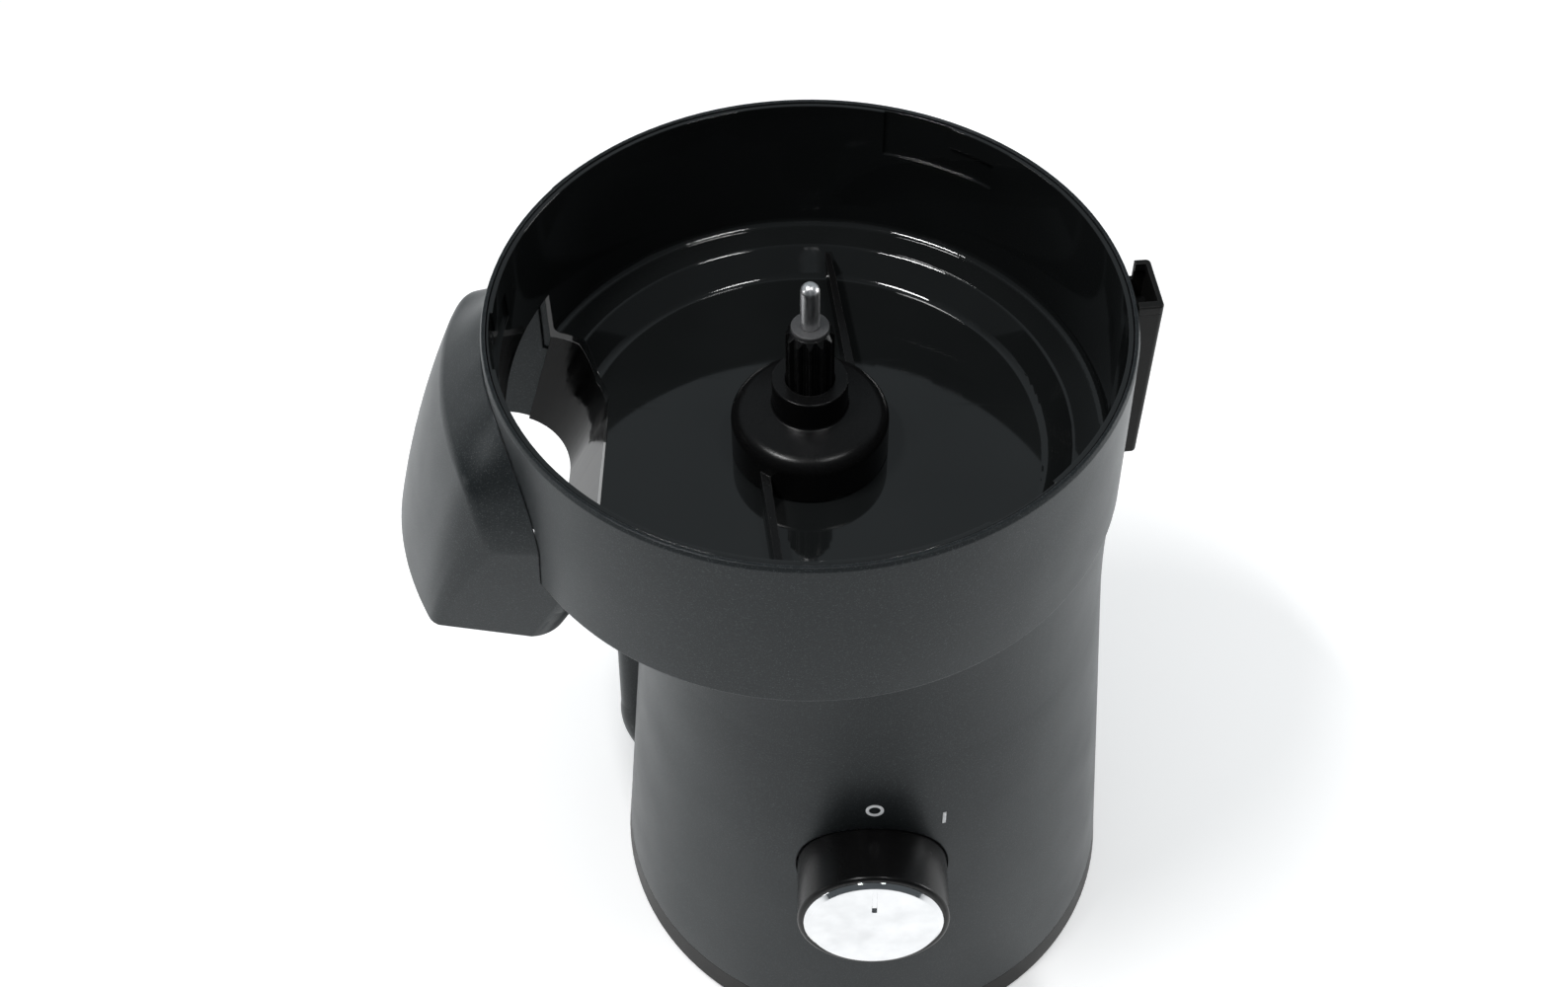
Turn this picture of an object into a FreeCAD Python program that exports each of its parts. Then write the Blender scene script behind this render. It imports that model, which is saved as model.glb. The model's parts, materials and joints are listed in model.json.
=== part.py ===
import FreeCAD, Part
import math
import os

"""Bowl-and-motor base of a centrifugal juicer, millimetres, +Z up.

The origin is on the drive spindle's axis, at the table.  +X points to the lid interlock,
-X to the discharge chute, and -Y to the front, where the switch knob is.
"""

V = FreeCAD.Vector
UP = V(0, 0, 1)

# Bowl
RIM_Z = 305.0            # top of the bowl
RIM_R = 100.0            # outside radius at the rim
BAND_R = 101.5           # outside radius at the lower edge of the bowl's skirt
BAND_Z = 243.0           # height of that lower edge
SHELL_T = 1.7            # skirt wall
LINER_R = 96.5           # inside radius of the bowl
LINER_T = 1.5            # liner side wall
LEDGE_Z = 252.0          # ledge round the foot of the side wall
LEDGE_R = 85.5           # inner edge of the ledge
FLOOR_Z = 242.5          # bowl floor
FLOOR_R = 78.0           # radius of the flat floor
FLOOR_T = 2.5
UNDER_R = 50.0           # inner edge of the skirt's conical underside
UNDER_Z = 231.0          # height of the underside at that edge

# Discharge chute, on the -X side
CHUTE_TOP = 269.5        # top of the opening in the bowl wall
CHUTE_BOTTOM = 210.0     # mouth of the hood
CHUTE_X = -67.3          # inner edge of the chute hole at floor height
CHUTE_SLOPE = 0.5        # how far the ramp leans outward for each millimetre down
CHUTE_BACK = 42.0        # rear wall
CHUTE_FRONT = -52.0      # front wall, at the mouth and at the chute's inner side
CHUTE_SKEW = 0.15        # the front wall runs back by this much for each millimetre outward
CHUTE_DRAFT = 0.065      # and comes forward by this much for each millimetre up
RAMP_T = 1.2
HOOD_T = 2.6
HOOD_WALL = 4.0          # the hood's outside stands this far out from the chute's faces
HOOD_BACK = 46.0
HOOD_FOOT_X = 140.5      # reach of the hood's foot from the bowl's axis
HOOD_BULGE_R = 118.0     # plan radius of its outer wall
HOOD_BULGE_Y = 8.0       # where that wall reaches furthest
HOOD_LEAN = 24.3         # how far the ridge stands in from the foot
HOOD_RIDGE_Z = RIM_Z - 24.0
HOOD_ROOF_Z = RIM_Z - 2.5
HOOD_REAR_FALL_Y = 8.0   # behind this the roof slopes down at about 45 degrees
HOOD_ROOF_ROLL = (24.0, 44.0)    # depth and height over which the roof rolls into the front
HOOD_RIDGE_ROLL = (10.0, 26.0)   # the same for the ridge
HOOD_REAR_ROLL = (11.0, 10.0)    # and for both at the back
HOOD_CORNER = 12.0       # radius of the upright corner at the back
HOOD_FRONT_CORNER = 2.5  # and at the front

# Motor housing
BODY_X = 22.0            # axis of the housing
BODY_BASE_R = 99.0       # radius at the table
BODY_NECK_R = 79.0       # radius of the straight neck
BODY_TAPER = 0.1         # radius lost for each millimetre of height
NECK_Z = (BODY_BASE_R - BODY_NECK_R) / BODY_TAPER
NECK_EASE = 24.0         # the taper eases into the neck from this far below to this far above
BODY_T = 2.6
BASE_Z = 15.0            # top of the base ring
GAP = 0.2                # parting gap between neighbouring mouldings
BOSS_INSET = 7.5         # screw bosses stand this far in from the housing's outside
BOSS_HEIGHTS = (45.0, 190.0)
FOOT_PITCH = 110.0       # spacing of the four feet, both ways

# Drive line on the spindle's axis
SPINDLE_R = 4.0
PIN_R = 3.0
GROOVE_R = 2.5           # groove that holds the retaining washer
PIN_TOP = 315.0
SPLINE_TEETH = 12
SPLINE_TIP_R = 7.7
SPLINE_ROOT_R = 6.3
SPLINE_TOP = 296.0
HUB_R = 25.7
HUB_TOP = 262.7
COLLAR_R = 12.2
COLLAR_TOP = 274.0
RUN = 0.05               # radial running clearance

# Motor and belt drive
MOTOR_X = 50.0
BELT_Z = 166.0
BELT_W = 12.0
DRIVEN_R = 30.0
DRIVING_R = 9.0
STATOR_R = 37.0
ROTOR_R = 21.0
DECK_Z = 150.0

# Switch knob on the front
KNOB_Z = 111.5
KNOB_R = 26.5
KNOB_PROUD = 20.0
MARK_R = 37.7            # distance of the O and I marks from the knob's axis
KNOB_TRAVEL = 40.0       # degrees from O to I
PANEL_TILT = math.degrees(math.atan(BODY_TAPER))

CORD_Z = 36.0            # mains cord inlet, low on the back
SWITCH_SHAFT_R = 3.0

# Lid interlock on the +X side
LOCK_ANGLE = 6.0         # degrees round the bowl
LOCK_R = 107.6
LOCK_HALF = 10.7
LOCK_BOTTOM = 237.0
LOCK_SEAM = 302.0


# ---------------------------------------------------------------- helpers

def cylinder(radius, low, high, x=0.0, y=0.0):
    return Part.makeCylinder(radius, high - low, V(x, y, low), UP)


def tube(outer, inner, low, high, x=0.0, y=0.0):
    bore = cylinder(inner, low - 1, high + 1, x, y)
    return cylinder(outer, low, high, x, y).cut(bore)


def box(x0, x1, y0, y1, z0, z1):
    return Part.makeBox(x1 - x0, y1 - y0, z1 - z0, V(x0, y0, z0))


def polygon_face(points):
    return Part.Face(Part.makePolygon(points + [points[0]]))


def revolve(profile, x=0.0):
    """Turn a profile of (radius, height) points about the vertical axis through x."""
    face = polygon_face([V(x + r, 0, z) for r, z in profile])
    return face.revolve(V(x, 0, 0), UP, 360)


def prism(points, z0, z1):
    face = polygon_face([V(x, y, z0) for x, y in points])
    return face.extrude(V(0, 0, z1 - z0))


def turned(shape, degrees, x=0.0, y=0.0):
    copy = shape.copy()
    copy.rotate(V(x, y, 0), UP, degrees)
    return copy


def moved(shape, x, y, z):
    copy = shape.copy()
    copy.translate(V(x, y, z))
    return copy


def joined(shapes):
    whole = shapes[0]
    for shape in shapes[1:]:
        whole = whole.fuse(shape)
    return whole.removeSplitter()


def cut_all(shape, tools):
    for tool in tools:
        shape = shape.cut(tool)
    return shape


def round_circles(shape, radius, size, low, high):
    """Fillet the circular edges of one radius whose height is between low and high."""
    edges = []
    for edge in shape.Edges:
        if edge.Curve.TypeId != "Part::GeomCircle":
            continue
        height = edge.Curve.Center.z
        if abs(edge.Curve.Radius - radius) < 0.01 and low < height < high:
            edges.append(edge)
    return shape.makeFillet(size, edges)


def round_uprights(shape, size, keep):
    """Fillet the vertical straight edges whose middle point passes the test."""
    edges = []
    for edge in shape.Edges:
        limits = edge.BoundBox
        upright = limits.XLength < 0.01 and limits.YLength < 0.01
        if upright and keep(edge.CenterOfMass):
            edges.append(edge)
    return shape.makeFillet(size, edges)


def body_radius(height):
    """Radius of the housing's outside at one height."""
    top = NECK_Z + NECK_EASE
    cone = BODY_BASE_R - BODY_TAPER * min(height, top)
    eased = max(0.0, min(height, top) - NECK_Z + NECK_EASE)
    return cone + BODY_TAPER * eased ** 2 / (4 * NECK_EASE)


def body_y(height, x, proud=0.0):
    """Y of the housing's front surface at one height and X."""
    radius = body_radius(height) + proud
    return -math.sqrt(radius ** 2 - (x - BODY_X) ** 2)


def body_solid(inset, low, high):
    """The housing's outside, moved in by inset, between two heights either side of the neck."""
    heights = (low, NECK_Z - NECK_EASE, NECK_Z, NECK_Z + NECK_EASE, high)
    foot, start, middle, end, top = [V(body_radius(z) - inset, 0, z) for z in heights]
    wire = Part.Wire([
        Part.makeLine(V(0, 0, low), foot),
        Part.makeLine(foot, start),
        Part.Arc(start, middle, end).toShape(),
        Part.makeLine(end, top),
        Part.makeLine(top, V(0, 0, high)),
        Part.makeLine(V(0, 0, high), V(0, 0, low)),
    ])
    solid = Part.Face(wire).revolve(V(0, 0, 0), UP, 360)
    return moved(solid, BODY_X, 0, 0)


def underside_z(radius, drop=0.0):
    slope = (BAND_Z - UNDER_Z) / (BAND_R - UNDER_R)
    return UNDER_Z + slope * (radius - UNDER_R) - drop


def above_underside(drop):
    """Everything over the bowl's conical underside, lowered by drop."""
    wide = 160.0
    profile = [
        (0, UNDER_Z - drop),
        (UNDER_R, UNDER_Z - drop),
        (BAND_R, BAND_Z - drop),
        (wide, BAND_Z - drop),
        (wide, 400.0),
        (0, 400.0),
    ]
    return revolve(profile)


def bowl_envelope(clear):
    """The whole bowl as a solid, grown by clear, to cut from its neighbours."""
    return revolve([
        (0, UNDER_Z - clear),
        (UNDER_R, UNDER_Z - clear),
        (BAND_R + clear, BAND_Z - clear),
        (RIM_R + clear, RIM_Z - 1.4),
        (RIM_R + clear, RIM_Z + 5),
        (0, RIM_Z + 5),
    ])


def on_panel(shape):
    """Place a shape built about +Z on the front panel, at the knob's axis."""
    copy = shape.copy()
    tilt = FreeCAD.Rotation(V(1, 0, 0), 90 - PANEL_TILT)
    centre = V(BODY_X, body_y(KNOB_Z, BODY_X), KNOB_Z)
    copy.Placement = FreeCAD.Placement(centre, tilt)
    return copy


def at_interlock(shape):
    """Turn a shape built on the +X axis to the interlock's place on the bowl."""
    return turned(shape, LOCK_ANGLE)


# ---------------------------------------------------------------- chute outline

def chute_right(height, offset=0.0):
    """X of the chute's inner side, or ramp, at one height."""
    return CHUTE_X + CHUTE_SLOPE * (height - FLOOR_Z) + offset


def chute_front(x, height, offset=0.0):
    """Y of the chute's front wall at one place."""
    start = CHUTE_FRONT - offset - CHUTE_DRAFT * (height - CHUTE_BOTTOM)
    return start + CHUTE_SKEW * (chute_right(CHUTE_BOTTOM) - x)


def chute_wire(height, offset):
    """Outline of the chute at one height, open towards -X."""
    right = chute_right(height, offset)
    back = CHUTE_BACK + offset
    left = -220.0
    rear_r = 27.0 + offset
    front_r = 7.0 + offset
    skew = math.atan(CHUTE_SKEW)

    def on_corner(centre, radius, degrees):
        angle = math.radians(degrees)
        return centre + V(radius * math.cos(angle), radius * math.sin(angle), 0)

    start = 270 - math.degrees(skew)
    low = V(right - front_r, 0, height)
    foot = on_corner(low, front_r, start)
    low.y = chute_front(foot.x, height, offset) - foot.y
    top = V(right - rear_r, back - rear_r, height)
    a = V(left, chute_front(left, height, offset), height)
    b = V(left, back, height)
    bend_low = [on_corner(low, front_r, angle) for angle in (start, (start + 360) / 2, 360)]
    bend_top = [on_corner(top, rear_r, angle) for angle in (0, 45, 90)]
    return Part.Wire([
        Part.makeLine(a, bend_low[0]),
        Part.Arc(*bend_low).toShape(),
        Part.makeLine(bend_low[2], bend_top[0]),
        Part.Arc(*bend_top).toShape(),
        Part.makeLine(bend_top[2], b),
        Part.makeLine(b, a),
    ])


def chute_prism(offset, low, high):
    """The leaning chute shape, grown by offset."""
    wires = [chute_wire(height, offset) for height in (low, high)]
    return Part.makeLoft(wires, True, True)


# ---------------------------------------------------------------- bowl

def bowl_liner():
    wall_out = LINER_R + LINER_T
    floor_low = FLOOR_Z - FLOOR_T
    profile = [
        (LINER_R, RIM_Z - 0.5),
        (LINER_R, LEDGE_Z),
        (LEDGE_R, LEDGE_Z - 0.6),
        (FLOOR_R, FLOOR_Z),
        (11.5, FLOOR_Z),
        (11.5, FLOOR_Z + 10.5),
        (8.0, FLOOR_Z + 10.5),
        (8.0, FLOOR_Z + 4.5),
        (5.0, FLOOR_Z + 4.5),
        (5.0, floor_low),
        (FLOOR_R + 0.6, floor_low),
        (LEDGE_R + 2.2, LEDGE_Z - 3.2),
        (wall_out, LEDGE_Z - 2.4),
        (wall_out, RIM_Z - 0.5),
    ]
    liner = revolve(profile)
    liner = round_circles(liner, LINER_R, 2.5, LEDGE_Z - 1, LEDGE_Z + 1)
    liner = round_circles(liner, LEDGE_R, 1.2, LEDGE_Z - 2, LEDGE_Z)
    liner = round_circles(liner, FLOOR_R, 4.0, FLOOR_Z - 1, FLOOR_Z + 1)
    liner = round_circles(liner, 11.5, 1.0, FLOOR_Z + 10, FLOOR_Z + 11)
    liner = liner.cut(chute_prism(0.0, CHUTE_BOTTOM - 2, CHUTE_TOP))
    for turn in (0, 120, 240):
        liner = liner.cut(turned(bayonet_pocket(), turn))
    return liner


def sector(inner, outer, start, stop, low, high):
    """A piece of a ring between two angles in degrees."""
    ring = [
        V(inner, 0, low),
        V(outer, 0, low),
        V(outer, 0, high),
        V(inner, 0, high),
    ]
    piece = polygon_face(ring).revolve(V(0, 0, 0), UP, stop - start)
    return turned(piece, start)


def bayonet_pocket():
    """Entry and locking groove for one lid lug, in the liner's inside face."""
    deep = LINER_R + 0.9
    entry = sector(LINER_R - 1, deep, 61, 75, RIM_Z - 18.5, RIM_Z + 1)
    groove = sector(LINER_R - 1, deep, 51, 62, RIM_Z - 18.5, RIM_Z - 8.4)
    return entry.fuse(groove)


def bowl_shell():
    top = RIM_Z
    inner = RIM_R - SHELL_T
    profile = [
        (inner, top),
        (RIM_R - 0.6, top),
        (RIM_R, top - 1.4),
        (BAND_R, BAND_Z),
        (UNDER_R, UNDER_Z),
        (UNDER_R, UNDER_Z + 2.0),
        (inner + 0.2, underside_z(inner) + 2.0),
        (inner + 0.2, BAND_Z + 8),
    ]
    rear_lip = sector(RIM_R - 1.0, RIM_R + 0.8, 44, 146, top - 7.0, top - 1.5)
    shell = revolve(profile).fuse(rear_lip)
    return shell.cut(chute_prism(2.0, CHUTE_BOTTOM - 10, CHUTE_TOP)).removeSplitter()


# ---------------------------------------------------------------- chute

def rolled(distance, roll):
    """How far a rolled edge has come down, at one distance from the wall it rolls into."""
    depth, height = roll
    along = 1.0 - min(distance / depth, 1.0)
    return height * (1.0 - (1.0 - along ** 1.6) ** 0.625)


def rounded(distance, radius):
    """How far a rounded corner stands back, at one distance from the wall it turns into."""
    past = radius - min(distance, radius)
    return radius - math.sqrt(radius ** 2 - past ** 2)


def hood_wire(place, inset):
    """Section of the hood: roof, ridge, bulging outer wall and foot.

    Place is how far the section is behind the front wall.  The sections near the front lean
    and turn with that wall, and the ones at the back stand square.
    """
    front = chute_front(chute_right(CHUTE_BOTTOM), CHUTE_BOTTOM, HOOD_WALL) + 0.05
    back_place = HOOD_BACK - front - inset
    behind = back_place - place
    ahead = place - inset
    share = min(1.0, max(0.0, 1.0 - ahead / 75.0))
    skew = CHUTE_SKEW * share
    lean = CHUTE_DRAFT * share

    def at(x, z):
        forward = skew * (chute_right(CHUTE_BOTTOM) - x) - lean * (z - CHUTE_BOTTOM)
        return V(x, front + place + forward, z)

    middle_y = at(-112.0, RIM_Z - 60.0).y
    wall_y = at(-78.0, RIM_Z - 30.0).y
    reach = middle_y - HOOD_BULGE_Y
    sag = HOOD_BULGE_R - math.sqrt(HOOD_BULGE_R ** 2 - reach ** 2)
    corner = rounded(ahead, HOOD_FRONT_CORNER) + rounded(behind, HOOD_CORNER)
    foot_x = sag + corner + inset - HOOD_FOOT_X
    rear_fall = max(0.0, middle_y - HOOD_REAR_FALL_Y)
    rear_roll = rolled(behind, HOOD_REAR_ROLL)
    ridge_z = HOOD_RIDGE_Z - 0.006 * rear_fall ** 2 - 0.5 * inset
    ridge_z -= rolled(ahead, HOOD_RIDGE_ROLL) + rear_roll
    roof_z = HOOD_ROOF_Z - 0.80 * rear_fall ** 2 / (rear_fall + 6.0) - 1.6 * inset
    roof_z = max(roof_z - rear_roll, ridge_z + 2.0) - rolled(ahead, HOOD_ROOF_ROLL)
    inner = -58.0
    wall = 3.0 + 0.12 * rear_fall - math.sqrt(RIM_R ** 2 - wall_y ** 2)
    low = CHUTE_BOTTOM - inset
    toe = at(foot_x, low)
    crest = at(foot_x + HOOD_LEAN, ridge_z)
    belly = at(foot_x + HOOD_LEAN / 2 - 1.6, (ridge_z + low) / 2)
    start = at(wall, roof_z)
    on_roof = crest + (start - crest).normalize() * 2.2
    on_wall = crest + (belly - crest).normalize() * 2.6
    over = (on_roof + on_wall) * 0.25 + crest * 0.5
    edges = [
        Part.makeLine(start, on_roof),
        Part.Arc(on_roof, over, on_wall).toShape(),
        Part.Arc(on_wall, belly, toe).toShape(),
    ]
    corners = [toe, at(inner, low), at(inner, BAND_Z + 4), start]
    for a, b in zip(corners, corners[1:]):
        edges.append(Part.makeLine(a, b))
    return Part.Wire(edges)


def hood_block(inset):
    """The hood's bulging outside, or its hollow when inset is the wall thickness."""
    length = HOOD_BACK - chute_front(chute_right(CHUTE_BOTTOM), CHUTE_BOTTOM, HOOD_WALL)
    near_front = [inset + step for step in (0.0, 0.5, 1.3, 2.6, 4.5, 7.5, 11.5, 16.5, 23.0)]
    near_back = [length - inset - step for step in (20.0, 13.0, 8.0, 4.5, 2.0, 0.6, 0.05)]
    middle = [31.0, 41.0, 52.0, 63.0, 72.0]
    wires = [hood_wire(place, inset) for place in near_front + middle + near_back]
    return Part.makeLoft(wires, True, False)


def chute_hood():
    outline = chute_prism(HOOD_WALL + 0.1, CHUTE_BOTTOM, RIM_Z + 1)
    duct = chute_prism(RAMP_T + 0.1, CHUTE_BOTTOM - 3, RIM_Z + 1)
    outside = hood_block(0.0).common(outline)
    hollow = hood_block(HOOD_T).common(duct)
    return outside.cut(hollow).cut(bowl_envelope(0.15))


def chute_ramp():
    low = CHUTE_BOTTOM
    high = LEDGE_Z - 0.6
    ramp = chute_prism(RAMP_T, low, high).cut(chute_prism(0.0, low - 1, high + 1))
    run = high - low
    lean = 12.9
    edge = -100.5
    keep = polygon_face([
        V(edge, -80, low - 1),
        V(0, -80, low - 1),
        V(0, -80, high + 1),
        V(edge + lean * (run + 1) / run, -80, high + 1),
    ]).extrude(V(0, 160, 0))
    ramp = ramp.common(keep)
    wall_out = LINER_R + LINER_T
    liner_space = revolve([
        (0, FLOOR_Z - FLOOR_T - 0.05),
        (FLOOR_R + 0.6, FLOOR_Z - FLOOR_T - 0.05),
        (LEDGE_R + 2.2, LEDGE_Z - 3.25),
        (wall_out + 0.05, LEDGE_Z - 2.45),
        (wall_out + 0.05, RIM_Z),
        (0, RIM_Z),
    ])
    return ramp.cut(liner_space)


# ---------------------------------------------------------------- drive line

def spline_outline(clear):
    """Corners of the splined section, grown by clear for the bore that slides on it."""
    pitch = 360.0 / SPLINE_TEETH
    points = []
    for tooth in range(SPLINE_TEETH):
        for radius, part in ((SPLINE_ROOT_R, -0.36), (SPLINE_TIP_R, -0.08),
                             (SPLINE_TIP_R, 0.08), (SPLINE_ROOT_R, 0.36)):
            grown = radius + clear
            shift = math.copysign(clear / grown, part)
            angle = math.radians((tooth + part) * pitch) + shift
            points.append((grown * math.cos(angle), grown * math.sin(angle)))
    return points


def spline(low, high):
    """Straight splined bar with chamfered tops on its teeth."""
    bar = prism(spline_outline(0.0), low, high)
    lead = 2.1
    cap = revolve([
        (0, low),
        (SPLINE_TIP_R + 0.1, low),
        (SPLINE_TIP_R + 0.1, high - lead),
        (SPLINE_ROOT_R - 0.2, high),
        (0, high),
    ])
    return bar.common(cap)


def drive_coupling():
    bar = spline(FLOOR_Z + 12, SPLINE_TOP)
    flange = cylinder(9.5, FLOOR_Z + 11.2, FLOOR_Z + 13.2)
    return bar.fuse(flange).removeSplitter().cut(cylinder(SPINDLE_R, 240, 300))


def spindle():
    low = BELT_Z - 10
    lower = cylinder(SPINDLE_R, low, SPLINE_TOP + 0.2)
    neck = cylinder(PIN_R, SPLINE_TOP, PIN_TOP - 1.0)
    tip = Part.makeSphere(PIN_R, V(0, 0, PIN_TOP - PIN_R))
    neck = neck.cut(cylinder(PIN_R + 1, PIN_TOP - PIN_R, PIN_TOP))
    whole = joined([lower, neck, tip])
    return whole.cut(tube(8, GROOVE_R, SPLINE_TOP + 0.2, SPLINE_TOP + 1.8))


def retaining_washer():
    ring = tube(6.0, GROOVE_R, SPLINE_TOP + 0.2, SPLINE_TOP + 1.6)
    return round_circles(ring, 6.0, 0.4, SPLINE_TOP + 1, SPLINE_TOP + 2)


def shaft_seal():
    low = FLOOR_Z + 4.6
    lip = [
        (SPINDLE_R + RUN, low + 2.4),
        (SPINDLE_R + RUN, low + 3.0),
        (5.2, low + 3.6),
        (5.2, low + 4.8),
        (7.9, low + 4.8),
        (7.9, low),
        (5.4, low),
        (5.4, low + 1.6),
    ]
    return revolve(lip)


def ball_bearing(outer, inner, low, width, x=0.0):
    """Bearing outline: two rings joined by a recessed shield."""
    middle = (outer + inner) / 2
    quarter = (outer - inner) / 5
    profile = [
        (inner, low),
        (middle - quarter, low),
        (middle - quarter, low + 0.6),
        (middle + quarter, low + 0.6),
        (middle + quarter, low),
        (outer, low),
        (outer, low + width),
        (middle + quarter, low + width),
        (middle + quarter, low + width - 0.6),
        (middle - quarter, low + width - 0.6),
        (middle - quarter, low + width),
        (inner, low + width),
    ]
    return revolve(profile, x)


def upper_bearing():
    return ball_bearing(11.0, SPINDLE_R + RUN, 229.0, 7.0)


def lower_bearing():
    return ball_bearing(11.0, SPINDLE_R + RUN, 190.0, 7.0)


def bearing_housing():
    top = FLOOR_Z - FLOOR_T - 0.1
    profile = [
        (11.05, top),
        (42.0, top),
        (42.0, top - 4),
        (19.0, top - 4),
        (15.5, top - 10),
        (15.0, 187.0),
        (7.0, 187.0),
        (7.0, 189.9),
        (11.05, 189.9),
        (11.05, 197.1),
        (8.5, 198.5),
        (8.5, 227.5),
        (11.05, 228.9),
    ]
    housing = revolve(profile)
    ribs = []
    for turn in range(6):
        rib = prism([(14, -1.5), (34, -1.5), (34, 1.5), (14, 1.5)], top - 18, top - 3.9)
        wedge = revolve([(15.2, top - 18), (34, top - 4), (15.2, top - 4)])
        ribs.append(turned(rib.common(wedge), 60 * turn + 30))
    whole = joined([housing] + ribs)
    holes = [turned(cylinder(2.2, top - 9, top + 1, 36), 60 * n) for n in range(6)]
    return cut_all(whole, holes)


def bowl_screws():
    """Six screws that pull the bowl down on the bearing housing's flange."""
    top = FLOOR_Z - FLOOR_T - 4.1
    screw = screw_shape(2.0, 3.6, 2.4, 4.0)
    return Part.makeCompound([turned(moved(screw, 36, 0, top), 60 * n) for n in range(6)])


def screw_shape(radius, head_r, head_h, length):
    """Pan-head screw hanging below z=0 by its head, with its shank going up."""
    head = cylinder(head_r, -head_h, -0.05)
    socket = prism([(-0.45, -2), (0.45, -2), (0.45, 2), (-0.45, 2)], -head_h - 1, 1 - head_h)
    cross = turned(socket, 90)
    shank = cylinder(radius, -0.1, length)
    return joined([head, shank]).cut(socket).cut(cross)


def pulley(radius, low, width, bore, x, hub_r):
    """Ribbed belt pulley with a flange at each end."""
    rim = 1.5
    ribs = 5
    pitch = (width - 2 * rim) / ribs
    profile = [(bore, low), (radius + 1.6, low), (radius + 1.6, low + rim)]
    for rib in range(ribs):
        base = low + rim + rib * pitch
        profile.append((radius - 1.2, base + 0.05))
        profile.append((radius, base + pitch * 0.5))
    profile.append((radius - 1.2, low + width - rim))
    profile.append((radius + 1.6, low + width - rim))
    profile.append((radius + 1.6, low + width))
    profile.append((hub_r, low + width))
    profile.append((hub_r, low + width + 4))
    profile.append((bore, low + width + 4))
    return revolve(profile, x)


def driven_pulley():
    wheel = pulley(DRIVEN_R, BELT_Z, BELT_W, SPINDLE_R, 0.0, 10.0)
    pocket = revolve([
        (12.0, BELT_Z + 3),
        (25.0, BELT_Z + 3),
        (25.0, BELT_Z + 20),
        (12.0, BELT_Z + 20),
    ])
    wheel = wheel.cut(pocket)
    holes = [turned(cylinder(4.5, BELT_Z - 1, BELT_Z + 9, 18.5), 60 * n) for n in range(6)]
    return cut_all(wheel, holes)


def motor_pulley():
    return pulley(DRIVING_R, BELT_Z, BELT_W, SPINDLE_R, MOTOR_X, 7.0)


def belt_wire(r1, r2, z):
    """Closed loop round two circles, at x=0 and x=MOTOR_X."""
    angle = math.acos((r1 - r2) / MOTOR_X)
    cosine = math.cos(angle)
    sine = math.sin(angle)
    a = V(r1 * cosine, r1 * sine, z)
    b = V(r1 * cosine, -r1 * sine, z)
    c = V(MOTOR_X + r2 * cosine, -r2 * sine, z)
    d = V(MOTOR_X + r2 * cosine, r2 * sine, z)
    return Part.Wire([
        Part.Arc(a, V(-r1, 0, z), b).toShape(),
        Part.makeLine(b, c),
        Part.Arc(c, V(MOTOR_X + r2, 0, z), d).toShape(),
        Part.makeLine(d, a),
    ])


def drive_belt():
    low = BELT_Z + 1.7
    width = BELT_W - 3.4
    inner = 0.25
    thick = 1.9
    loops = []
    for extra in (inner + thick, inner):
        wire = belt_wire(DRIVEN_R + extra, DRIVING_R + extra, low)
        loops.append(Part.Face(wire).extrude(V(0, 0, width)))
    return loops[0].cut(loops[1])


# ---------------------------------------------------------------- sweeper

def sweeper():
    """Hub with two low arms that push the food round to the chute."""
    low = FLOOR_Z + 0.6
    profile = [
        (22.4, low),
        (HUB_R, low),
        (HUB_R, HUB_TOP - 3),
        (COLLAR_R, HUB_TOP),
        (COLLAR_R, COLLAR_TOP),
        (SPLINE_TIP_R + 0.3, COLLAR_TOP),
        (SPLINE_TIP_R + 0.3, COLLAR_TOP - 4),
        (SPLINE_ROOT_R - 1, COLLAR_TOP - 4),
        (SPLINE_ROOT_R - 1, FLOOR_Z + 13.6),
        (12.4, FLOOR_Z + 13.6),
        (12.4, HUB_TOP - 4.4),
        (22.4, HUB_TOP - 6),
    ]
    hub = revolve(profile)
    hub = round_circles(hub, HUB_R, 5.0, HUB_TOP - 4, HUB_TOP - 2)
    hub = round_circles(hub, COLLAR_R, 0.8, HUB_TOP - 1, HUB_TOP + 1)
    hub = round_circles(hub, COLLAR_R, 0.4, COLLAR_TOP - 1, COLLAR_TOP + 1)
    hub = hub.cut(prism(spline_outline(0.15), FLOOR_Z + 13, COLLAR_TOP))
    arm = sweeper_arm(low)
    return joined([hub, arm, turned(arm, 180)])


def sweeper_arm(low):
    """Thin upright blade that runs outward past the spindle's axis, thinner at its tip."""
    high = LEDGE_Z
    inner = V(14.8, 17.0, low)
    outer = V(6.0, 82.0, low)
    along = (outer - inner).normalize()
    side = V(-along.y, along.x, 0)
    root = side * 1.5
    tip = side * 1.0
    face = polygon_face([inner - root, outer - tip, outer + tip, inner + root])
    blade = face.extrude(V(0, 0, high - low))
    sweep = revolve([(18.0, low), (73.5, low), (81.0, high), (18.0, high)])
    return blade.common(sweep)


# ---------------------------------------------------------------- motor

def motor_shaft():
    return cylinder(SPINDLE_R, 22.0, BELT_Z + BELT_W + 5, MOTOR_X)


def armature_core():
    core = tube(ROTOR_R, SPINDLE_R, 62.0, 104.0, MOTOR_X)
    slot = box(ROTOR_R - 4, ROTOR_R + 1, -0.9, 0.9, 61, 105)
    for turn in range(12):
        core = core.cut(moved(turned(slot, 30 * turn + 15), MOTOR_X, 0, 0))
    return core


def armature_windings():
    ends = []
    for low, high in ((54.0, 61.9), (104.1, 112.0)):
        ring = tube(18.0, SPINDLE_R, low, high, MOTOR_X)
        ends.append(round_circles(ring, 18.0, 3.0, low - 1, high + 1))
    return Part.makeCompound(ends)


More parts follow.
